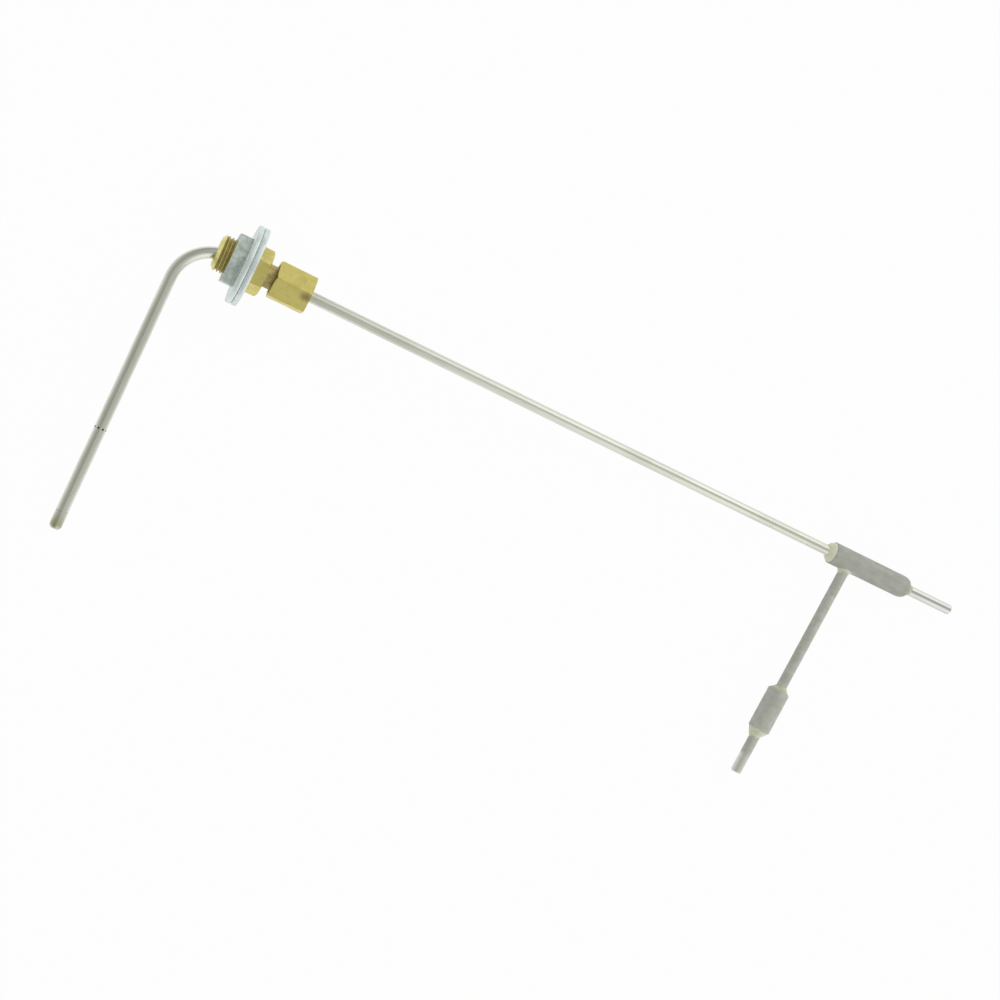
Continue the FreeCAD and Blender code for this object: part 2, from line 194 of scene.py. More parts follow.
def crown(start, radius, length, drop, count=10):
    """A quarter of an ellipse that leaves a cylinder smoothly and closes it in."""
    points = []
    for k in range(count + 1):
        turn = math.pi / 2 * k / count
        points.append((start + length * math.sin(turn), radius - drop * (1 - math.cos(turn))))
    return points


# %% Carving
def as_object(bm, name):
    """Puts a bmesh into the scene."""
    mesh = bpy.data.meshes.new(name)
    bm.to_mesh(mesh)
    bm.free()
    obj = bpy.data.objects.new(name, mesh)
    bpy.context.scene.collection.objects.link(obj)
    return obj


def carved(bm, tool, operation="DIFFERENCE"):
    """The Boolean of two bmeshes."""
    body = as_object(bm, "body")
    cutter = as_object(tool, "cutter")
    step = body.modifiers.new("carve", "BOOLEAN")
    step.operation = operation
    step.solver = "EXACT"
    step.object = cutter
    depsgraph = bpy.context.evaluated_depsgraph_get()
    mesh = bpy.data.meshes.new_from_object(body.evaluated_get(depsgraph))
    out = bmesh.new()
    out.from_mesh(mesh)
    for used in (body, cutter):
        bpy.data.objects.remove(used)
    bpy.data.meshes.remove(mesh)
    bmesh.ops.remove_doubles(out, verts=out.verts, dist=MERGED)
    return out


# %% Finishing a piece
def finished(bm, name, body, nodes, material, crease=32):
    """Makes the object, shades it, hangs it under its body and hides the CAD nodes that it stands for."""
    obj = as_object(bm, name)
    for face in obj.data.polygons:
        face.use_smooth = True
    obj.data.set_sharp_from_angle(angle=math.radians(crease))
    flats = obj.modifiers.new("flats stay flat", "WEIGHTED_NORMAL")
    flats.keep_sharp = True
    obj.data.materials.append(material)
    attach(obj, body)
    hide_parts(*nodes)
    print("%-20s %6d faces" % (name, len(obj.data.polygons)))
    return obj


# %% [markdown]
# ## Writing materials as sums
#
# A finish is a sum of a few patterns: drawing lines, smudges, tarnish where two parts meet. Node trees hide
# that sum, so one small class wraps a socket and lets it be added and multiplied like a number. Its `node`
# method makes every other kind of node. Positions are in metres, so the numbers given to `stretched` are
# waves of noise per metre along X, Y and Z: 4200 of them make lines a quarter of a millimetre wide.

# %% A socket that can be used in sums
class Signal:
    """One output socket of a node tree."""

    def __init__(self, tree, socket=None):
        self.tree = tree
        self.socket = socket

    def node(self, kind, settings=None, inputs=None, output=0):
        """A new node: its settings, and its inputs by name, identifier or number, as values or signals."""
        made = self.tree.nodes.new(kind)
        for name, value in (settings or {}).items():
            setattr(made, name, value)
        for key, value in (inputs or {}).items():
            by_identifier = [s for s in made.inputs if s.identifier == key]
            socket = by_identifier[0] if by_identifier else made.inputs[key]
            if isinstance(value, Signal):
                self.tree.links.new(value.socket, socket)
            else:
                socket.default_value = value
        return Signal(self.tree, made.outputs[output])

    def ends_in(self, kind):
        """Links this signal to the surface of an output node."""
        output = self.tree.nodes.new(kind)
        self.tree.links.new(self.socket, output.inputs["Surface"])

    def math(self, operation, first, second):
        """One step of arithmetic on two numbers or signals."""
        return self.node("ShaderNodeMath", {"operation": operation}, {0: first, 1: second})

    def vector_math(self, operation, other=(0, 0, 0)):
        """A number that comes from this vector and another, such as a LENGTH or a DISTANCE."""
        return self.node("ShaderNodeVectorMath", {"operation": operation}, {0: self, 1: other}, 1)

    def __add__(self, other):
        return self.math("ADD", self, other)

    def __radd__(self, other):
        return self.math("ADD", other, self)

    def __rsub__(self, other):
        return self.math("SUBTRACT", other, self)

    def __mul__(self, other):
        return self.math("MULTIPLY", self, other)

    def __rmul__(self, other):
        return self.math("MULTIPLY", other, self)

    def between(self, low, high):
        """0 below low, 1 above high, smooth between; low may be the larger."""
        return self.node("ShaderNodeMapRange", {"interpolation_type": "SMOOTHSTEP"},
                         {"Value": self, "From Min": low, "From Max": high})

    def mix(self, first, second):
        """A colour between two, with this signal as the share of the second."""
        first = (*first, 1) if isinstance(first, tuple) else first
        second = (*second, 1) if isinstance(second, tuple) else second
        return self.node("ShaderNodeMix", {"data_type": "RGBA"},
                         {"Factor_Float": self, "A_Color": first, "B_Color": second}, 2)

    def stretched(self, x, y, z):
        """A vector signal scaled along its three axes."""
        return self.node("ShaderNodeVectorMath", {"operation": "MULTIPLY"}, {0: self, 1: (x, y, z)})

    def along(self, axis, foot=ORIGIN):
        """How far a point lies along an axis, in millimetres."""
        offset = self.node("ShaderNodeVectorMath", {"operation": "SUBTRACT"}, {0: self, 1: tuple(foot)})
        return offset.vector_math("DOT_PRODUCT", tuple(axis / MM))

    def noise(self, detail, roughness=0.5):
        """Cloudy noise, one wave per unit of this vector."""
        return self.node("ShaderNodeTexNoise", None,
                         {"Vector": self, "Scale": 1.0, "Detail": detail, "Roughness": roughness})


# %% Starting and ending a material
def start_material(name):
    """A new material, and the position on the piece as a signal."""
    material = bpy.data.materials.new(name)
    material.use_nodes = True
    tree = material.node_tree
    tree.nodes.clear()
    place = Signal(tree).node("ShaderNodeTexCoord", output="Object")
    print("material:", name)
    return material, place


def end_material(place, colour, roughness, bumps, depth, metallic=1.0):
    """Links a colour, a roughness and a bump, so many metres deep, to the metal's shader."""
    normal = place.node("ShaderNodeBump", None, {"Strength": 1.0, "Distance": depth, "Height": bumps})
    shader = place.node("ShaderNodeBsdfPrincipled", None, {
        "Base Color": colour, "Roughness": roughness, "Normal": normal, "Metallic": metallic})
    shader.ends_in("ShaderNodeOutputMaterial")


# %% [markdown]
# ## Drawn tube
#
# Stainless tube is drawn through a die, which leaves fine lines along it, and the probe is then bent. Lines
# that follow the world's axes would cut across the bend, so the pattern is read from the place that each
# point had before bending, which the tube's mesh keeps as an attribute called `straight`. Below its skin the
# tube is painted near black as painted shade, so the static holes show as dark spots.

# %% Drawn steel
def drawn_steel(name, on_bent_tube, pale, deep, smooth=0.22):
    """Bright drawn tube with fine lines along it and handling smears; the bent one has painted shade below
    its skin.
    """
    material, place = start_material(name)
    if on_bent_tube:
        place = place.node("ShaderNodeAttribute", {"attribute_name": "straight"}, output="Vector")
    lines = place.stretched(90, 4200, 4200).noise(3, 0.6)
    smear = place.stretched(70, 260, 260).noise(4, 0.6)
    grain = place.stretched(1500, 2600, 2600).noise(2)
    worn = smear.between(0.42, 0.66)
    colour = (0.3 * worn + 0.35 * lines).mix(pale, deep)
    if on_bent_tube:
        # Painted shade: the bore and the floors of the holes are painted near black.
        radius = place.stretched(0, 1, 1).vector_math("LENGTH")
        colour = radius.between(tube_r - 0.02 * MM, tube_r - 0.10 * MM).mix(colour, (0.10, 0.10, 0.08))
    roughness = smooth + 0.10 * lines + 0.07 * worn
    end_material(place, colour, roughness, lines + 0.5 * grain, 0.003 * MM)
    return material


bright_bent = drawn_steel("drawn steel, bent tube", True, (0.74, 0.75, 0.67), (0.56, 0.57, 0.48))
bright_plain = drawn_steel("drawn steel, plain port", False, (0.70, 0.71, 0.68), (0.52, 0.53, 0.50), 0.16)

# %% [markdown]
# ## Blasted steel
#
# After brazing, the tee, the branch and its sleeve were blasted clean with fine beads. The surface is an
# even, matt grey with a grain of about a tenth of a millimetre, cloudy where the beads came at a slant. On
# the branch it is painted a little brighter, as painted light.

# %% Blasted steel
BLASTED_METALLIC = 0.12


def blasted(place, painted_lift):
    """The colour, roughness and bump of bead blasted steel, made brighter by a factor of painted light."""
    grain = place.stretched(9000, 9000, 9000).noise(3, 0.7)
    clouds = place.stretched(420, 420, 420).noise(4, 0.6)
    streaks = place.stretched(160, 700, 700).noise(3, 0.55)
    shade = 0.4 * clouds.between(0.34, 0.66) + 0.2 * grain + 0.4 * streaks.between(0.34, 0.66)
    pale, deep = Vector((0.61, 0.63, 0.575)), Vector((0.46, 0.475, 0.42))
    colour = shade.mix(tuple(painted_lift * pale), tuple(painted_lift * deep))
    roughness = 0.62 + 0.14 * grain
    return colour, roughness, grain


def blasted_steel(name, painted_lift=1.0):
    """A piece that is blasted all over."""
    material, place = start_material(name)
    colour, roughness, grain = blasted(place, painted_lift)
    end_material(place, colour, roughness, grain, 0.012 * MM, BLASTED_METALLIC)
    return material


# Painted light: the branch, its sleeve and the blasted part of the port get a lighter copy of the blasted
# steel.
BRANCH_PAINTED_LIGHT = 1.15
blasted_plain = blasted_steel("bead blasted steel")
blasted_branch_painted_lighter = blasted_steel("bead blasted steel, branch, painted lighter", BRANCH_PAINTED_LIGHT)

# %% [markdown]
# The static port was blasted only near its sleeve. Its last few millimetres are still bright, where a hose
# has rubbed, and the edge between the two is ragged.

# %% Half blasted port
def half_blasted(bright_from):
    """Blasted steel up to so many millimetres along the branch, and bright steel from there on."""
    material, place = start_material("port, blasted near the sleeve")
    # The blasted part carries the branch's painted light.
    colour, roughness, grain = blasted(place, BRANCH_PAINTED_LIGHT)
    ragged = place.stretched(900, 900, 900).noise(4, 0.7)
    length = place.along(BRANCH, branch_foot)
    lines = place.stretched(4000, 250, 4000).noise(3, 0.6)
    bright = (length + 1.8 * ragged).between(bright_from + 0.4, bright_from + 1.6)
    colour = bright.mix(colour, lines.mix((0.86, 0.87, 0.81), (0.64, 0.65, 0.60)))
    roughness = roughness * (1 - bright) + bright * (0.30 + 0.14 * lines)
    bumps = grain * (1 - bright) + 0.15 * lines * bright
    metallic = BLASTED_METALLIC + 0.45 * bright
    end_material(place, colour, roughness, bumps, 0.012 * MM, metallic)
    return material


BRIGHT_MM = 6.0
port_steel = half_blasted(reach("static_port_tube", branch_foot, BRANCH)[1] / MM - BRIGHT_MM)

# %% [markdown]
# ## Braze and heat
#
# Silver braze is a pale yellow alloy. It runs into the joint by itself and freezes with a satin skin, so its
# colour wanders between silver and straw. The tip was brazed too, and dressed flush: what is left there is
# a thin line and a straw and brown tint.

# %% Braze
def braze(name, pale, deep, roughness_low, metallic):
    """Pools of two shades with a fine grain."""
    material, place = start_material(name)
    pools = place.stretched(900, 900, 900).noise(4, 0.6)
    grain = place.stretched(5200, 5200, 5200).noise(3, 0.6)
    colour = pools.between(0.35, 0.65).mix(pale, deep)
    roughness = roughness_low + 0.18 * grain
    end_material(place, colour, roughness, pools + 0.25 * grain, 0.02 * MM, metallic)
    return material


# The stem's fillet is near white and matt: partly the braze's pale colour, partly a painted highlight.
fresh_braze_painted_highlight = braze("silver braze", (1.0, 1.0, 0.83), (0.94, 0.95, 0.70), 0.30, 0.0)
matte_braze = braze("silver braze, blasted", (0.74, 0.74, 0.54), (0.60, 0.60, 0.43), 0.46, 0.2)
pale_braze = braze("silver braze, lightly blasted", (0.92, 0.93, 0.74), (0.76, 0.77, 0.58), 0.42, 0.15)
dull_braze = braze("silver braze, dressed and tinted", (0.66, 0.65, 0.58), (0.57, 0.56, 0.49), 0.30, 0.9)

# %% Tinted tip
def tinted_steel():
    """Steel with a straw and brown tint just behind the tip."""
    material, place = start_material("steel with heat tint")
    lines = place.stretched(4200, 120, 4200).noise(3, 0.6)
    clouds = place.stretched(800, 500, 800).noise(4, 0.6)
    from_tip = place.along(-NOSE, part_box("nose_tip")[0])
    straw = (from_tip + 1.6 * clouds).between(5.2, 1.8) * (from_tip + 0.8 * clouds).between(0.5, 1.3)
    steel = clouds.mix((0.70, 0.70, 0.64), (0.58, 0.58, 0.51))
    colour = (0.8 * straw).mix(steel, (0.46, 0.45, 0.28))
    roughness = 0.26 + 0.14 * lines + 0.08 * clouds
    end_material(place, colour, roughness, lines, 0.003 * MM)
    return material


tip_steel = tinted_steel()

# %% [markdown]
# ## Brass
#
# The gland is machined from brass bar. The flats of its hexagons keep the bar's drawing lines. The cone at
# the mouth is painted pale as a painted highlight, the thread is tarnished and painted darker towards its
# roots, and the neck between hexagon and nut is painted brown as painted shade. Handling leaves a smudge
# near the nut's free end.

# %% Machined brass
def brass(name, thread=None, neck=(0.0, 0.0), smudge=None):
    """Brass, with places in millimetres: the thread's root radius and start, the ends of the neck that is
    painted with shade, a smudge.
    """
    material, place = start_material(name)
    bar = place.stretched(260, 2200, 2200).noise(3, 0.6)
    clouds = place.stretched(260, 330, 330).noise(4, 0.6)
    spots = place.stretched(1500, 1500, 1500).noise(3, 0.6)
    handled = clouds.between(0.40, 0.66)
    colour = (0.55 * handled + 0.25 * bar).mix((0.80, 0.71, 0.24), (0.62, 0.545, 0.17))
    dirt_and_painted_shade = (0.5 * spots).between(0.26, 0.40) * 0.35
    x = place.along(STEM)
    around = place.stretched(0, 1 / MM, 1 / MM).vector_math("LENGTH")
    metallic = 1.0
    if thread:
        root_mm, first_mm = thread
        on_thread = x.between(0.1, -0.1) * x.between(first_mm, first_mm + 0.3)
        # The thread is painted darker towards its roots.
        dirt_and_painted_shade = dirt_and_painted_shade + 0.08 + on_thread * 0.55 * around.between(root_mm + 0.28, root_mm)
        metallic = 1 - 0.6 * on_thread
        # Painted highlight: the cone at the mouth is painted pale.
        colour = (0.35 * x.between(first_mm + 0.2, first_mm)).mix(colour, (0.95, 0.94, 0.52))
        # Painted shade: the neck between hexagon and nut is painted brown.
        neck_shade = x.between(neck[0] - 0.15, neck[0] + 0.25) * x.between(neck[1] + 0.4, neck[1])
        dirt_and_painted_shade = dirt_and_painted_shade + neck_shade * (0.30 + 0.5 * clouds)
    if smudge:
        offset = place.stretched(0.7 / MM, 1 / MM, 1 / MM).vector_math("DISTANCE", smudge)
        dirt_and_painted_shade = dirt_and_painted_shade + (offset + 1.6 * spots).between(2.7, 1.0) * 0.75
    colour = dirt_and_painted_shade.node("ShaderNodeClamp", None, {"Value": dirt_and_painted_shade}).mix(colour, (0.24, 0.17, 0.09))
    roughness = 0.30 + 0.12 * bar + 0.12 * handled
    end_material(place, colour, roughness, bar + 0.4 * spots, 0.004 * MM, metallic)
    return material


# %% [markdown]
# ## Zinc plate
#
# The washers are bright zinc with the blue cast of its passivation, streaked where they were rolled. The
# lock nut's plating has gone dull and blotchy.

# %% Two ages of zinc
def zinc(name, pale, deep, patch, low, spread, streaked):
    """Zinc in two shades, as patches and streaks; low and spread give its roughness."""
    material, place = start_material(name)
    patches = place.stretched(patch, patch, patch).noise(5, 0.62)
    grain = place.stretched(3800, 3800, 3800).noise(3, 0.6)
    streaks = place.stretched(2600, 240, 240).noise(3, 0.6)
    shade = patches.between(0.34, 0.66) * (1 - streaked) + streaks.between(0.3, 0.7) * streaked
    colour = (0.8 * shade + 0.2 * grain).mix(pale, deep)
    roughness = low + spread * shade + 0.08 * grain
    end_material(place, colour, roughness, grain + patches, 0.004 * MM, 0.6)
    return material


bright_zinc = zinc("zinc plate, bright", (0.86, 0.93, 0.92), (0.72, 0.81, 0.80), 500, 0.28, 0.14, 0.5)
dull_zinc = zinc("zinc plate, dulled", (0.80, 0.88, 0.82), (0.50, 0.58, 0.54), 620, 0.40, 0.16, 0.1)

# %% [markdown]
# ## The probe's tube
#
# The tube starts straight, as the real one does. Its holes are drilled while it is straight, most of the way
# through the wall, and their floors get the same painted shade as the bore. Then each point is carried
# around the bend, and the place that it came from stays on the mesh for the drawing lines.

# %% The straight tube, its holes, and the bend
quarter = math.pi / 2 * bend_r
nose_length = tube_end - bend_r
stem_length = stem_high.x - bend_end


def evenly(start, end, count):
    """Places from a start up to, but without, an end."""
    return [start + (end - start) * k / count for k in range(count)]


def tube_stations(bend_steps):
    """Places along the straight tube, close together only where it will bend."""
    places = evenly(-quarter - nose_length, -quarter, 24)
    places += evenly(-quarter, 0.0, bend_steps)
    places += evenly(0.0, stem_length, 30)
    return places + [stem_length]


outer = [(a, tube_r) for a in tube_stations(72)]
inner = [(a, tube_bore) for a in reversed(tube_stations(36))]
tube = turned(outer + inner)

hole_at = -quarter - (ring_at - bend_r)
hole_depth = 0.7 * (tube_r - tube_bore)
drill = bmesh.new()
for k in range(HOLES):
    turn = hole_phase + 2 * math.pi * k / HOLES
    out = Vector((0, -math.sin(turn), math.cos(turn)))
    place = Matrix.Translation(Vector((hole_at, 0, 0)) + out * tube_r)
    place = place @ UP.rotation_difference(out).to_matrix().to_4x4()
    bmesh.ops.create_cone(drill, cap_ends=True, segments=28, radius1=hole_r, radius2=hole_r,
                          depth=2 * hole_depth, matrix=place)
tube = carved(tube, drill)
print("holes %.2f mm deep in a wall of %.2f mm" % (hole_depth / MM, (tube_r - tube_bore) / MM))


def around_bend(point):
    """Where a point of the straight tube goes when the nose is bent down."""
    if point.x >= 0:
        return Vector((bend_end + point.x, point.y, point.z))
    turn = min(-point.x / bend_r, math.pi / 2)
    past = max(-point.x - quarter, 0.0)
    reach_out = bend_r + point.y
    return Vector((bend_end - reach_out * math.sin(turn),
                   -bend_r + reach_out * math.cos(turn) - past, point.z))


layer = tube.verts.layers.float_vector.new("straight")
for vert in tube.verts:
    vert[layer] = vert.co
    vert.co = around_bend(vert.co)
bmesh.ops.recalc_face_normals(tube, faces=tube.faces)
finished(tube, "probe_tube", "probe", ["stem_tube"], bright_bent)

# %% [markdown]
# ## The tip
#
# The end piece is a small turned plug. Its edge is rounded towards the opening, and its spigot, inside the
# tube, holds the thin inner tube. A ring of braze, dressed flush, shows where it joins.

# %% Tip and its ring
tip_low, tip_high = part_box("nose_tip")
tip_at = -tip_low.y
shoulder = -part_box("nose_braze")[0].y
spigot_end = -tip_high.y
core_at = -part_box("total_tube")[0].y
core_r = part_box("total_tube")[1].z
LIP_WIDTH = 0.06 * MM
LIP_DEPTH = 0.03 * MM
mouth_r = bore_at("nose_tip", tip_at, nose_foot, NOSE)
rise = tip_at - core_at
profile = crown(core_at, tube_r, rise, tube_r - mouth_r - LIP_WIDTH, 12)
profile += [(tip_at - LIP_DEPTH, mouth_r), (core_at, mouth_r), (core_at, core_r), (spigot_end, core_r)]
profile += [(spigot_end, tube_bore), (shoulder, tube_bore), (shoulder, tube_r)]
tip = turned(profile, nose_foot, NOSE)
finished(tip, "tip", "probe", ["nose_tip"], tip_steel)

ring = [(tube_end, tube_bore), (tube_end, tube_r)]
ring += arc((tube_end, tube_r), (shoulder, tube_r), 0.012 * MM, 6)[1:]
ring += [(shoulder, tube_bore)]
finished(turned(ring, nose_foot, NOSE), "tip_braze", "probe", ["nose_braze"], dull_braze)

# %% [markdown]
# ## The tee
#
# The tee is a length of thick tube with its far end rounded over. The stem ends inside it, the total port
# leaves through its rounded end, and the branch leaves at its side.

# %% Tee sleeve and total port
BORE_EDGE = 0.08 * MM
dome_start = full_width("tee_sleeve", tee_r)[1]
nipple_start, nipple_end = reach("total_port_tube")[:2]
shoulder_r = max(r for a, r in stations("tee_sleeve") if abs(a - tee_end) < TOUCHING)
chamber_r = max(r for a, r in stations("tee_sleeve") if abs(a - stem_high.x) < TOUCHING)
tee_edge = full_width("tee_sleeve", tee_r)[0] - tee_start
profile = [(tee_start, tube_r), (tee_start, tee_r - tee_edge), (tee_start + tee_edge, tee_r)]
profile += crown(dome_start, tee_r, tee_end - dome_start, tee_r - shoulder_r)
profile += [(tee_end, tube_r), (nipple_start, tube_r), (nipple_start, chamber_r)]
profile += [(stem_high.x, chamber_r), (stem_high.x, tube_r)]
tee = softened(turned(profile), 0.06 * MM)
finished(tee, "tee_sleeve_piece", "probe", ["tee_sleeve"], blasted_plain)


def port(start, end, bore, round_over, foot=ORIGIN, axis=STEM):
    """A thick walled port with its open end rounded over."""
    corners = [(start, bore), (start, tube_r)]
    corners += crown(end - round_over, tube_r, round_over, round_over)
    corners += [(end, bore + BORE_EDGE), (end - BORE_EDGE, bore)]
    print("port's flat end from %.2f to %.2f mm" % (bore / MM, (tube_r - round_over) / MM))
    return turned(corners, foot, axis)


round_over = nipple_end - full_width("total_port_tube", tube_r)[1]
bore = bore_at("total_port_tube", nipple_end)
total_port = port(nipple_start, nipple_end, bore, round_over)
finished(total_port, "total_port", "probe", ["total_port_tube"], bright_plain)

# %% [markdown]
# ## The branch
#
# A plain tube leads from the tee to a sleeve, and the static port leaves the sleeve's far side.

# %% Branch tube, sleeve and static port
branch_end = reach("branch_tube", branch_foot, BRANCH)[1]
branch = turned([(chamber_r, tube_bore), (chamber_r, tube_r), (branch_end, tube_r), (branch_end, tube_bore)],
                branch_foot, BRANCH)
finished(branch, "branch", "probe", ["branch_tube"], blasted_branch_painted_lighter)

port_start, port_end = reach("static_port_tube", branch_foot, BRANCH)[:2]
round_start, round_end = full_width("static_sleeve", sleeve_r, branch_foot, BRANCH)
inner_edge = round_start - sleeve_start
outer_edge = sleeve_end - round_end
sleeve = turned([
    (sleeve_start, tube_r), (sleeve_start, sleeve_r - inner_edge), (round_start, sleeve_r),
    (round_end, sleeve_r), (sleeve_end, sleeve_r - outer_edge), (sleeve_end, tube_r), (port_start, tube_r),
    (port_start, tube_bore), (branch_end, tube_bore), (branch_end, tube_r),
], branch_foot, BRANCH)
softened(sleeve, 0.12 * MM)
finished(sleeve, "branch_sleeve", "probe", ["static_sleeve"], blasted_branch_painted_lighter)

static_port = port(port_start, port_end, bore, round_over, branch_foot, BRANCH)
finished(static_port, "static_port", "probe", ["static_port_tube"], port_steel)

# %% [markdown]
# ## Braze fillets
#
# Braze climbs to the joint's thick side and thins out along the tube. Each fillet is spun from a short
# curve, and then its thin edge is pulled to and fro and its skin is pushed in and out a little with noise,
# because a brazed edge is never a perfect circle.

# %% Fillets around a tube
FEATHER = 0.01 * MM     # how far a fillet's thin edge stands off the tube, and reaches into it
SKIN_WAVE = 0.9 * MM    # the size of the waves in its skin
SKIN_RISE = 0.05 * MM   # and their height


def fillet(face, length, height, foot, axis, sag, name, node, material,
           long_side=UP, lean=0.0, wander=0.2):
    """A fillet on a face: length may be negative, for one that thins out the other way."""
    skin = arc((face, tube_r + height), (face + length, tube_r + FEATHER), sag, 14)
    inside = [(face + length, tube_r - FEATHER), (face - 0.1 * length, tube_r - FEATHER)]
    inside += [(face - 0.1 * length, tube_r + 0.85 * height)]
    bm = turned(skin + inside, foot, axis)
    for vert in bm.verts:
        offset = vert.co - foot
        along = offset.dot(axis)
        out = (offset - axis * along).normalized()
        share = min(max((along - face) / length, 0.0), 1.0)
        edge = noise.noise(out * 1.7 + Vector((0, 0, face / MM)))
        skin_noise = noise.noise(vert.co / SKIN_WAVE)
        pull = length * share * (wander * edge + lean * out.dot(long_side))
        vert.co += axis * pull + out * (skin_noise * SKIN_RISE * share * (1 - share) * 4)
    return finished(bm, name, "probe", [node], material, crease=60)


def size_of(node, foot=ORIGIN, axis=STEM):
    """Length and height of a fillet's solid."""
    start, end, radius = reach(node, foot, axis)
    return end - start, radius - tube_r


ACROSS = BRANCH.cross(UP)
if ACROSS.x < 0:
    ACROSS.negate()
length, height = size_of("stem_braze")
fillet(tee_start, -length, height, ORIGIN, STEM, -0.16 * MM, "stem_fillet", "stem_braze", fresh_braze_painted_highlight,
       long_side=-NOSE, lean=0.16, wander=0.08)
length, height = size_of("total_port_braze")
fillet(tee_end, length, height, ORIGIN, STEM, -0.08 * MM, "total_port_fillet", "total_port_braze",
       matte_braze)
length, height = size_of("static_inner_braze", branch_foot, BRANCH)
fillet(sleeve_start, -length, height, branch_foot, BRANCH, 0.08 * MM, "inner_fillet", "static_inner_braze",
       matte_braze, long_side=ACROSS, lean=0.1)
length, height = size_of("static_outer_braze", branch_foot, BRANCH)
fillet(sleeve_end, length, height, branch_foot, BRANCH, 0.06 * MM, "outer_fillet", "static_outer_braze",
       pale_braze, long_side=-ACROSS, lean=0.2)

# %% [markdown]
# The branch enters the tee at its side, so its fillet sits on a curved surface. It is spun around the
# branch as if the tee were flat, and then each point is pushed along the branch until it lies as far
# above the tee's skin as it lay above the flat. Over the tee's top and bottom it is narrower.

# %% Saddle fillet
SADDLE_LENGTH = 1.4 * MM
BURIED = 0.25 * MM
saddle_r = reach("branch_braze", branch_foot, BRANCH)[2]
corners = arc((0.0, saddle_r), (SADDLE_LENGTH, tube_r + FEATHER), -0.16 * MM, 12)
corners += [(SADDLE_LENGTH, tube_r - FEATHER), (-BURIED, tube_r - FEATHER), (-BURIED, saddle_r)]
saddle = turned(corners, branch_foot, BRANCH)
for vert in saddle.verts:
    offset = vert.co - branch_foot
    above = offset.dot(BRANCH)
    out = offset - BRANCH * above
    across = out.normalized()
    width = 1 - 0.6 * across.z ** 2
    out = across * (tube_r + (out.length - tube_r) * width)
    on_tee = (out.y + math.sqrt(tee_r ** 2 - out.z ** 2)) / -BRANCH.y
    wobble = 1 + 0.22 * noise.noise(across * 1.9) if above > 0 else 1
    vert.co = branch_foot + out + BRANCH * (on_tee + above * width * wobble)
bmesh.ops.recalc_face_normals(saddle, faces=saddle.faces)
finished(saddle, "branch_fillet", "probe", ["branch_braze"], pale_braze, crease=60)

# %% [markdown]
# ## The gland's thread
#
# The barrel's thread is a real helix, because its ridges slant and that shows. One pitch of the thread's
# outline is spun with a step along the axis, so each turn ends where the next one starts. The strip is
# longer than the barrel at both ends and is cut off square. After that the ridges are faded in behind the
# plain lead, and everything is turned down to the chamfer's cone.

# %% Sizes of the gland
gland_points = stations("male_connector")
mouth = min(a for a, r in gland_points)
barrel_r = max(r for a, r in gland_points if a < 0)
lead_r = max(r for a, r in gland_points if abs(a - mouth) < TOUCHING)
mouth_bore = bore_at("male_connector", mouth)
hex_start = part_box("outer_washer")[1].x
nut_start, nut_end = reach("compression_nut")[:2]
thread_end = max(a for a, r in gland_points)
guide = bore_at("compression_nut", nut_end)
hidden_r = bore_at("compression_nut", nut_start)
hex_end = max(a for a, r in gland_points if r > hidden_r + 0.5 * MM)
neck_r = min(r for a, r in gland_points if abs(a - hex_end) < TOUCHING)
wide_end = full_width("male_connector", mouth_bore)[1]
print("barrel %.2f mm, hexagon ends at %.2f mm, neck %.2f mm" % (
    2 * barrel_r / MM, hex_end / MM, 2 * neck_r / MM))

# %% The thread
THREADS_PER_INCH = 28
PITCH = 25.4 / THREADS_PER_INCH * MM
DEPTH = 0.56 * MM
FADE = 0.4 * PITCH
RUN_IN = 1.6 * PITCH
TURN_STEPS = 60
TURN_SEAM = 0.002 * MM
OVERLAP = 0.3 * MM   # how far two pieces of one solid run into each other
cone = full_width("male_connector", barrel_r)[0] - mouth
barrel_end = hex_start + OVERLAP
turns_needed = math.ceil((barrel_end - mouth) / PITCH) + 3
root = barrel_r - DEPTH
ridge = [(0.0, root), (0.10, root), (0.44, barrel_r), (0.56, barrel_r), (0.90, root), (1.0, root)]
thread = bmesh.new()
line = [thread.verts.new((mouth - RUN_IN + share * PITCH, 0, r)) for share, r in ridge]
edges = [thread.edges.new(pair) for pair in zip(line, line[1:])]
bmesh.ops.spin(thread, geom=line + edges, cent=ORIGIN, axis=STEM, dvec=STEM * (PITCH / TURN_STEPS),
               angle=2 * math.pi * turns_needed, steps=TURN_STEPS * turns_needed, use_merge=False)
bmesh.ops.remove_doubles(thread, verts=thread.verts, dist=TURN_SEAM)


def sliced(bm, x, drop_left=False, drop_right=False):
    """Cuts a mesh square to the stem, and may drop what lies on one side."""
    bmesh.ops.bisect_plane(bm, geom=bm.verts[:] + bm.edges[:] + bm.faces[:], dist=1e-8,
                           plane_co=(x, 0, 0), plane_no=STEM, clear_inner=drop_left, clear_outer=drop_right)


sliced(thread, mouth, drop_left=True)
sliced(thread, barrel_end, drop_right=True)
for x in (mouth + cone, mouth + cone + FADE):
    sliced(thread, x)
for vert in thread.verts:
    radius = math.hypot(vert.co.y, vert.co.z)
    past_mouth = vert.co.x - mouth
    fade = min(max((past_mouth - cone) / FADE, 0.0), 1.0)
    on_cone = lead_r + (barrel_r - lead_r) * past_mouth / cone
    new_radius = min(barrel_r - (barrel_r - radius) * fade, on_cone)
    vert.co.yz = vert.co.yz * (new_radius / radius)
print("thread: %d turns of %.2f mm" % (turns_needed, PITCH / MM))

# %% The barrel's bore
def rim_at(bm, x):
    """The open edges at one place along the stem."""
    return [e for e in bm.edges if e.is_boundary and all(abs(v.co.x - x) < 1e-7 for v in e.verts)]


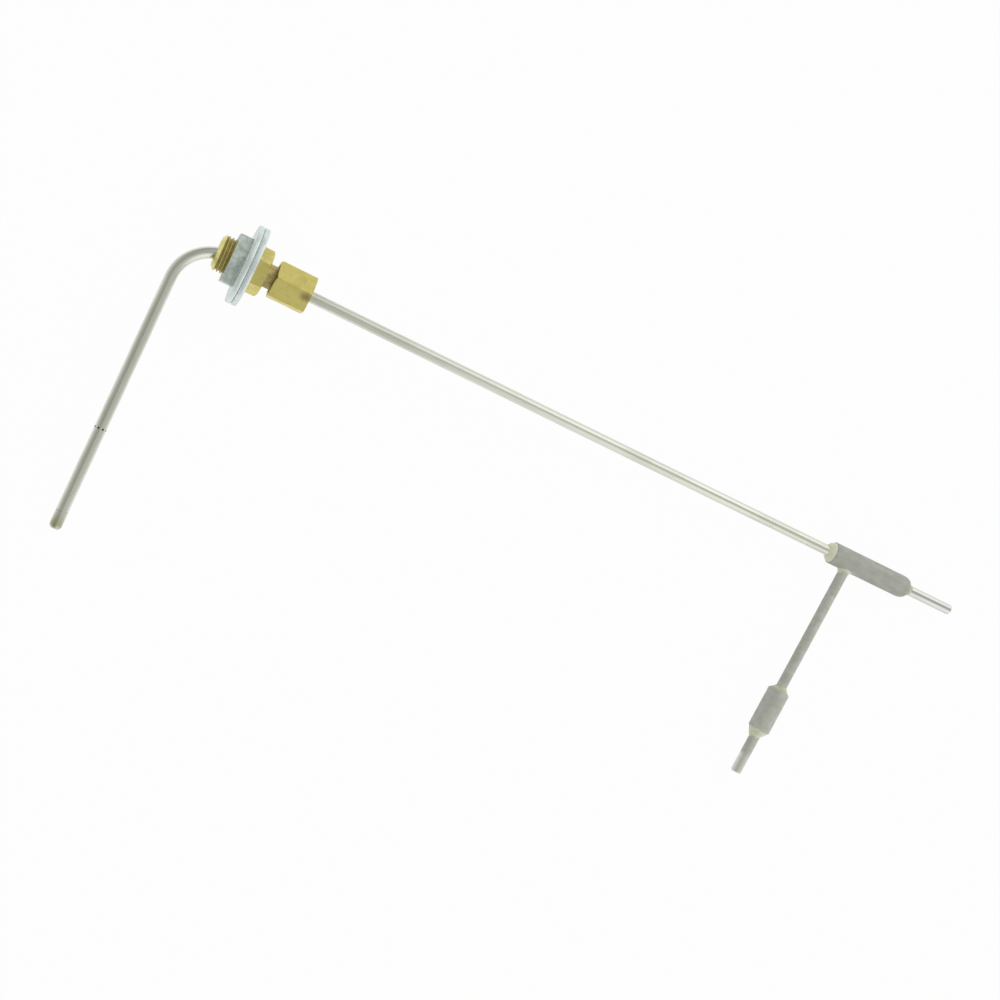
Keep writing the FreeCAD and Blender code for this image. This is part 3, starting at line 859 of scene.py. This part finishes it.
def drawn_in(bm, edges, x, radius):
    """Extrudes a ring of edges to a place and a radius, and returns the new ring."""
    made = bmesh.ops.extrude_edge_only(bm, edges=edges)["geom"]
    for vert in [g for g in made if isinstance(g, bmesh.types.BMVert)]:
        vert.co.yz = vert.co.yz * (radius / math.hypot(vert.co.y, vert.co.z))
        vert.co.x = x
    return [g for g in made if isinstance(g, bmesh.types.BMEdge) and g.is_boundary]


MOUTH_EDGE = 0.15 * MM
DRILL_POINT = 0.6   # length over radius at the point of a drill
BORE_SEAM = 0.001 * MM
left = drawn_in(thread, rim_at(thread, mouth), mouth, mouth_bore + MOUTH_EDGE)
left = drawn_in(thread, left, mouth + MOUTH_EDGE, mouth_bore)
left = drawn_in(thread, left, wide_end, mouth_bore)
left = drawn_in(thread, left, wide_end + DRILL_POINT * (mouth_bore - guide), guide)
right = drawn_in(thread, rim_at(thread, barrel_end), barrel_end, guide)
bmesh.ops.bridge_loops(thread, edges=left + right)
bmesh.ops.remove_doubles(thread, verts=thread.verts, dist=BORE_SEAM)
bmesh.ops.recalc_face_normals(thread, faces=thread.faces)
gland_brass = brass("brass, gland", (root / MM, (mouth + cone) / MM), (hex_end / MM, nut_start / MM))
finished(thread, "gland_barrel", "gland", ["male_connector"], gland_brass, crease=30)

# %% [markdown]
# ## Hexagons
#
# A hexagon is milled or drawn, and its corners are then turned off at 30 degrees, which leaves the curved
# edge at the end of each flat. A six-sided cone with equal ends is the bar, a spun ring is the lathe's cut,
# and their intersection is the nut.

# %% A hexagon with turned corners
CHAMFER = math.radians(30)
NOT_TURNED = 0.02 * MM   # a face that comes this close to the corners has no chamfer
BAR_EDGE = 0.09 * MM
NUT_EDGE = 0.035 * MM


def hexagon(node, start, end, bores):
    """A hexagon as the CAD node has it; bores is the inner outline from right to left."""
    found = [p.co for p in frame["nodes"][node].data.vertices
             if start - TOUCHING < p.co.x < end + TOUCHING]
    corner_point = max(found, key=lambda p: math.hypot(p.y, p.z))
    corner = math.hypot(corner_point.y, corner_point.z)
    flat = corner * math.cos(math.pi / 6)
    bar = bmesh.new()
    spot = Matrix.Translation(((start + end) / 2, 0, 0)) @ UP.rotation_difference(STEM).to_matrix().to_4x4()
    bmesh.ops.create_cone(bar, cap_ends=True, segments=6, radius1=corner, radius2=corner,
                          depth=2 * (end - start), matrix=spot)
    bar.verts.ensure_lookup_table()
    now = math.atan2(bar.verts[0].co.z, bar.verts[0].co.y)
    wanted = math.atan2(corner_point.z, corner_point.y)
    bmesh.ops.rotate(bar, verts=bar.verts, cent=ORIGIN, matrix=Matrix.Rotation(wanted - now, 3, "X"))
    softened(bar, BAR_EDGE, 3, 40, lambda e: abs((e.verts[0].co - e.verts[1].co).x) > end - start)
    clear = corner + 0.2 * MM
    lathe = [(start, bores[-1][1])]
    for face, inwards in ((start, 1), (end, -1)):
        face_r = max(math.hypot(p.y, p.z) for p in found if abs(p.x - face) < TOUCHING)
        cut = [(face, face_r), (face + inwards * (clear - face_r) * math.tan(CHAMFER), clear)]
        cut = [(face, clear)] if corner - face_r < NOT_TURNED else cut
        lathe += cut[::inwards]
    lathe += bores[:-1]
    nut = carved(bar, turned(lathe, steps=144), "INTERSECT")
    print("%s: %.2f mm across flats" % (node, 2 * flat / MM))
    return softened(nut, NUT_EDGE, 2, 22)


# %% Hexagon and neck of the connector
hex_piece = hexagon("male_connector", hex_start, hex_end, [(hex_end, guide), (hex_start, guide)])
finished(hex_piece, "gland_hexagon", "gland", ["male_connector"], gland_brass, crease=24)

FERRULE_ROOM = 0.05 * MM
THREAD_ROOM = 0.02 * MM
ROOT_ROUND = 0.22 * MM
pocket_start, _, ferrule_r = reach("ferrule")
foot_r = neck_r + ROOT_ROUND
hidden_start = nut_start + OVERLAP
neck = [(hex_end - OVERLAP, guide), (hex_end - OVERLAP, foot_r), (hex_end, foot_r)]
neck += [(hex_end + ROOT_ROUND * (1 - math.cos(t)), neck_r + ROOT_ROUND * (1 - math.sin(t)))
         for t in (math.pi / 8, math.pi / 4, 3 * math.pi / 8, math.pi / 2)]
neck += [(hidden_start, neck_r), (hidden_start + hidden_r - neck_r, hidden_r - THREAD_ROOM)]
neck += [(thread_end, hidden_r - THREAD_ROOM), (thread_end, ferrule_r + FERRULE_ROOM)]
neck += [(pocket_start, ferrule_r + FERRULE_ROOM), (pocket_start, guide)]
finished(turned(neck), "gland_neck", "gland", ["male_connector"], gland_brass)

# %% Compression nut
NUT_MOUTH = 0.2 * MM
nut_brass = brass("brass, long nut", smudge=(11.1, -1.15, 4.6))
hidden_end = full_width("compression_nut", hidden_r)[1]
bores = [(nut_end, guide + NUT_MOUTH), (nut_end - NUT_MOUTH, guide), (hidden_end, guide),
         (hidden_end, hidden_r), (nut_start, hidden_r)]
finished(hexagon("compression_nut", nut_start, nut_end, bores), "compression_nut_piece",
         "gland", ["compression_nut"], nut_brass, crease=24)

# %% Lock nut and washers
LOCK_MOUTH = 0.25 * MM
lock_start, lock_end = reach("lock_nut")[:2]
bores = [(lock_end, barrel_r), (lock_start + LOCK_MOUTH, barrel_r), (lock_start, barrel_r + LOCK_MOUTH)]
finished(hexagon("lock_nut", lock_start, lock_end, bores), "lock_nut_piece", "gland",
         ["lock_nut"], dull_zinc, crease=24)

RIM = 0.45 * MM
for node, piece in (("inner_washer", "washer_inside"), ("outer_washer", "washer_outside")):
    start, end, washer_r = reach(node)
    hole = bore_at(node, end)
    disc = turned([(start, hole), (start, washer_r), (end, washer_r), (end, hole)])
    softened(disc, RIM, 6, 30, lambda e: math.hypot(*e.verts[0].co.yz) > washer_r - TOUCHING)
    softened(disc, 0.08 * MM, 2, 80)
    finished(disc, piece, "gland", [node], bright_zinc)

# %% [markdown]
# ## What stays as the CAD made it
#
# The ferrule and the thin inner tube are hidden, and show only when the parts are taken from each other.
# Their shapes are right as they are, so they only need a finish.

# %% Hidden nodes
inner_steel = drawn_steel("drawn steel, inner tube", False, (0.26, 0.26, 0.23), (0.16, 0.16, 0.14), 0.40)
for node, material in (("ferrule", brass("brass, ferrule")), ("total_tube", inner_steel)):
    mesh = frame["nodes"][node].data
    mesh.materials.clear()
    mesh.materials.append(material)
    print(node, "gets", material.name)

# %% [markdown]
# ## How it lies
#
# Put down on a table, the probe rests on three places: the rim of the washers, the end of the tee, and the
# far end of the branch's sleeve. Those three points give the table's plane.

# %% The table
washer_r = reach("outer_washer")[2]
rim_point = Vector((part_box("outer_washer")[1].x - RIM, 0, -washer_r))
tee_point = Vector((dome_start, 0, -tee_r))
sleeve_point = branch_foot + BRANCH * round_end - UP * sleeve_r
table_up = (tee_point - rim_point).cross(sleeve_point - rim_point).normalized()
if table_up.z < 0:
    table_up.negate()
print("table leans %.2f degrees" % math.degrees(table_up.angle(UP)))

HALF_TABLE = 3.0
floor_mesh = bmesh.new()
place = Matrix.Translation(rim_point) @ UP.rotation_difference(table_up).to_matrix().to_4x4()
bmesh.ops.create_grid(floor_mesh, x_segments=1, y_segments=1, size=HALF_TABLE, matrix=place)
floor = as_object(floor_mesh, "floor")

# %% [markdown]
# The table is white paper. To the camera, and in the metal, most of its white comes from the surface itself,
# so that it stays clean, and the rest is lit, so that the probe keeps a soft shadow.

# %% White table
OWN_WHITE = 0.97
material, place = start_material("white table")
seen = Signal(place.tree).node("ShaderNodeLightPath", output="Is Camera Ray")
mirrored = Signal(place.tree).node("ShaderNodeLightPath", output="Is Glossy Ray")
through = Signal(place.tree).node("ShaderNodeLightPath", output="Is Transmission Ray")
lit = place.node("ShaderNodeBsdfDiffuse", None, {"Color": (0.90, 0.90, 0.90, 1)})
own = place.node("ShaderNodeEmission", None, {"Color": (1, 1, 1, 1), "Strength": 1.0})
share = (seen + mirrored + through) * OWN_WHITE
both = place.node("ShaderNodeMixShader", None, {0: share, 1: lit, 2: own})
both.ends_in("ShaderNodeOutputMaterial")
floor.data.materials.append(material)

# %% [markdown]
# ## Light
#
# Polished metal has no colour of its own to speak of: it shows the room. A white tent would leave it without
# form, so this one is white towards the tee, grey towards the nose, and half lit at its two far ends, with a
# soft, darker opening overhead. That gives the stem the grey band along its top and its white edges. One
# large soft lamp adds a direction.

# %% World
TEE_SIDE = (1.20, 1.20, 1.19)
NOSE_SIDE = (0.41, 0.41, 0.39)
BEYOND_TEE = (0.50, 0.50, 0.49)
BEYOND_NOSE = (0.62, 0.62, 0.60)
OVERHEAD = (0.48, 0.48, 0.45)
OPENING = Vector((0.59, 0.11, 0.80)).normalized()
world = bpy.data.worlds.new("white tent")
bpy.context.scene.world = world
world.use_nodes = True
world.node_tree.nodes.clear()
sky = Signal(world.node_tree).node("ShaderNodeTexCoord", output="Generated")
seen = Signal(world.node_tree).node("ShaderNodeLightPath", output="Is Camera Ray")
opening = sky.vector_math("DISTANCE", tuple(OPENING)).between(0.66, 0.18)
to_tee = sky.vector_math("DOT_PRODUCT", tuple(STEM))
tent = to_tee.between(0.0, 0.42).mix(NOSE_SIDE, TEE_SIDE)
tent = to_tee.between(0.80, 1.0).mix(tent, BEYOND_TEE)
tent = to_tee.between(-0.60, -0.95).mix(tent, BEYOND_NOSE)
room = opening.mix(tent, OVERHEAD)
colour = seen.mix(room, (1.0, 1.0, 1.0))
light = sky.node("ShaderNodeBackground", None, {"Color": colour, "Strength": 1.0})
light.ends_in("ShaderNodeOutputWorld")

# %% Lamp
lamp = bpy.data.objects.new("softbox", bpy.data.lights.new("softbox", "AREA"))
lamp.data.shape = "SQUARE"
lamp.data.size = 1.0
lamp.data.energy = 1.2
lamp.location = (0.35, 0.75, 0.85)
lamp.rotation_mode = "QUATERNION"
lamp.rotation_quaternion = (Vector((0.08, 0, 0)) - lamp.location).to_track_quat("-Z", "Y")
bpy.context.scene.collection.objects.link(lamp)

# %% [markdown]
# ## Camera
#
# It stands above the gland, a good third of a metre away, and looks down along the stem a little, so the
# tee end runs away from it.

# %% Camera
camera = bpy.data.objects.new("camera", bpy.data.cameras.new("camera"))
camera.data.lens = 50.4
camera.data.sensor_width = 36.0
camera.data.clip_start = 0.01
AIM = Vector((0.084881, -0.026493, 0.0))
AZIMUTH = math.radians(-169.770)
ELEVATION = math.radians(73.089)
ROLL = math.radians(104.246)
DISTANCE = 0.372371
back = Vector((math.cos(AZIMUTH) * math.cos(ELEVATION), math.sin(AZIMUTH) * math.cos(ELEVATION),
               math.sin(ELEVATION)))
level_right = UP.cross(back).normalized()
level_up = back.cross(level_right)
right = level_right * math.cos(ROLL) + level_up * math.sin(ROLL)
turned_camera = Matrix((right, back.cross(right), back)).transposed().to_4x4()
camera.matrix_world = Matrix.Translation(AIM + back * DISTANCE) @ turned_camera
bpy.context.scene.collection.objects.link(camera)
bpy.context.scene.camera = camera
print("camera at", tuple(round(c, 4) for c in camera.location))

# %% [markdown]
# ## Finish
#
# A plain view transform keeps the colours as they were chosen.

bpy.context.scene.view_settings.view_transform = "Standard"
